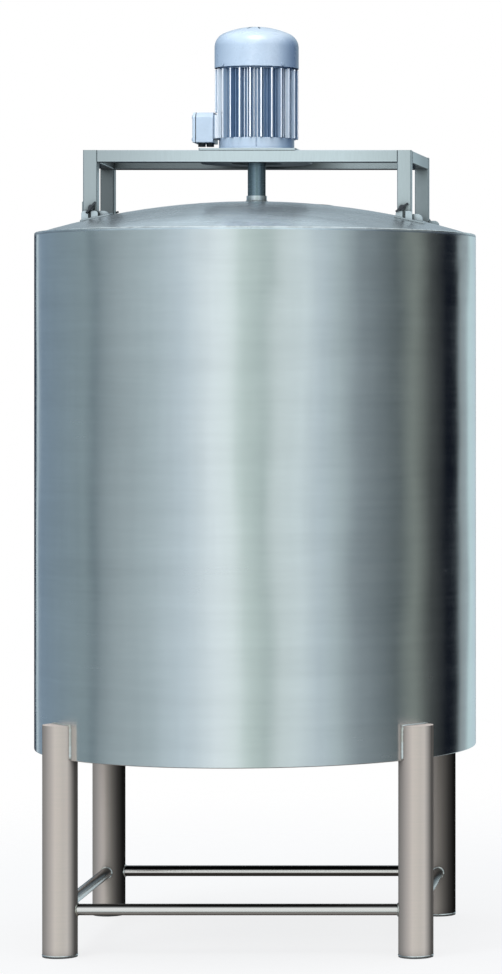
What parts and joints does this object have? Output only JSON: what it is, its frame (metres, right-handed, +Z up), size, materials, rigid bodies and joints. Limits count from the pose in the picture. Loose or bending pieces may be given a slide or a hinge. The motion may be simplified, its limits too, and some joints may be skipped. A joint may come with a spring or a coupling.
{
  "type": "bulk milk tank",
  "caption": "Upright insulated milk tank on four tube legs, with a domed top, a bridge-mounted motor driving an agitator, a rear manway and a bottom outlet valve.",
  "frame": {"origin": "on the floor, on the tank's vertical axis, between the four feet", "axes": "+Z up along the tank's axis; the front is -Y, so the manway and the outlet valve are at +Y; the motor's terminal box is at -X"},
  "size_m": [1.1, 1.1, 2.283],
  "materials": {
    "shell_steel": "satin",
    "dome_steel": "satin",
    "vessel_steel": "satin",
    "foam": "matte",
    "leg_steel": "satin",
    "frame_steel": "satin",
    "foot_rubber": "matte",
    "bracket_steel": "satin",
    "neck_steel": "satin",
    "seal_rubber": "matte",
    "shaft_steel": "satin",
    "motor_paint": "gloss",
    "cowl_paint": "gloss",
    "black_plastic": "satin",
    "bearing_steel": "polished",
    "lamination": "matte",
    "copper": "satin",
    "fastener_steel": "satin",
    "board_plastic": "gloss",
    "lid_steel": "satin",
    "handle_black": "satin",
    "screw_black": "satin"
  },
  "bodies": {
    "tank": {"beam_front": "frame_steel", "beam_rear": "frame_steel", "blanking_plugs": "black_plastic", "bottom_cover": "frame_steel", "bridge_post_front_left": "frame_steel", "bridge_post_front_right": "frame_steel", "bridge_post_rear_left": "frame_steel", "bridge_post_rear_right": "frame_steel", "cable_gland": "black_plastic", "cover_screws": "motor_paint", "dome_cover": "dome_steel", "drive_end_shield": "motor_paint", "end_beams": "frame_steel", "fan_cowl": "cowl_paint", "fan_end_shield": "motor_paint", "flange_bolts": "fastener_steel", "foot_plugs": "foot_rubber", "hinge_lugs": "bracket_steel", "hinge_pin": "fastener_steel", "inner_vessel": "vessel_steel", "insulation": "foam", "leg_caps": "leg_steel", "leg_front_left": "leg_steel", "leg_front_right": "leg_steel", "leg_rear_left": "leg_steel", "leg_rear_right": "leg_steel", "manway_neck": "neck_steel", "motor_bearings": "bearing_steel", "motor_housing": "motor_paint", "motor_plate": "frame_steel", "outer_shell": "shell_steel", "outlet_pipe": "neck_steel", "outlet_spout": "neck_steel", "post_brackets": "bracket_steel", "shaft_neck": "neck_steel", "shaft_seal": "seal_rubber", "stator_core": "lamination", "stator_windings": "copper", "stretchers_front_rear": "leg_steel", "stretchers_left_right": "leg_steel", "terminal_board": "board_plastic", "terminal_box": "motor_paint", "terminal_lid": "motor_paint", "terminal_seal": "seal_rubber", "valve_body": "bracket_steel", "valve_seat": "seal_rubber"},
    "agitator": {"motor_shaft": "shaft_steel", "rotor_core": "lamination", "cooling_fan": "black_plastic", "agitator_shaft": "shaft_steel", "impeller": "vessel_steel"},
    "lid": {"manway_lid": "lid_steel", "manway_gasket": "seal_rubber", "lid_handle": "bracket_steel"},
    "valve": {"valve_disc": "neck_steel", "valve_handle": "handle_black"},
    "clamp_front_left": {"wing_screw_front_left": "screw_black"},
    "clamp_front_right": {"wing_screw_front_right": "screw_black"},
    "clamp_rear_left": {"wing_screw_rear_left": "screw_black"},
    "clamp_rear_right": {"wing_screw_rear_right": "screw_black"}
  },
  "joints": [
    {"name": "agitator_spin", "type": "hinge", "parent": "tank", "child": "agitator", "pos_m": [0, 0, 2], "axis": [0, 0, 1], "continuous": true},
    {"name": "lid_hinge", "type": "hinge", "parent": "tank", "child": "lid", "pos_m": [-0.167, 0.34, 1.846], "axis": [0, -1, 0], "range_deg": [0, 105]},
    {"name": "valve_turn", "type": "hinge", "parent": "tank", "child": "valve", "pos_m": [0, 0.455, 0.431], "axis": [-1, 0, 0], "range_deg": [0, 90]},
    {"name": "clamp_turn_front_left", "type": "hinge", "parent": "tank", "child": "clamp_front_left", "pos_m": [-0.383, -0.1815, 1.8205], "axis": [0, -1, 0], "continuous": true},
    {"name": "clamp_turn_front_right", "type": "hinge", "parent": "tank", "child": "clamp_front_right", "pos_m": [0.383, -0.1815, 1.8205], "axis": [0, -1, 0], "continuous": true},
    {"name": "clamp_turn_rear_left", "type": "hinge", "parent": "tank", "child": "clamp_rear_left", "pos_m": [-0.3975, 0.1815, 1.8205], "axis": [0, 1, 0], "continuous": true},
    {"name": "clamp_turn_rear_right", "type": "hinge", "parent": "tank", "child": "clamp_rear_right", "pos_m": [0.3975, 0.1815, 1.8205], "axis": [0, 1, 0], "continuous": true}
  ]
}
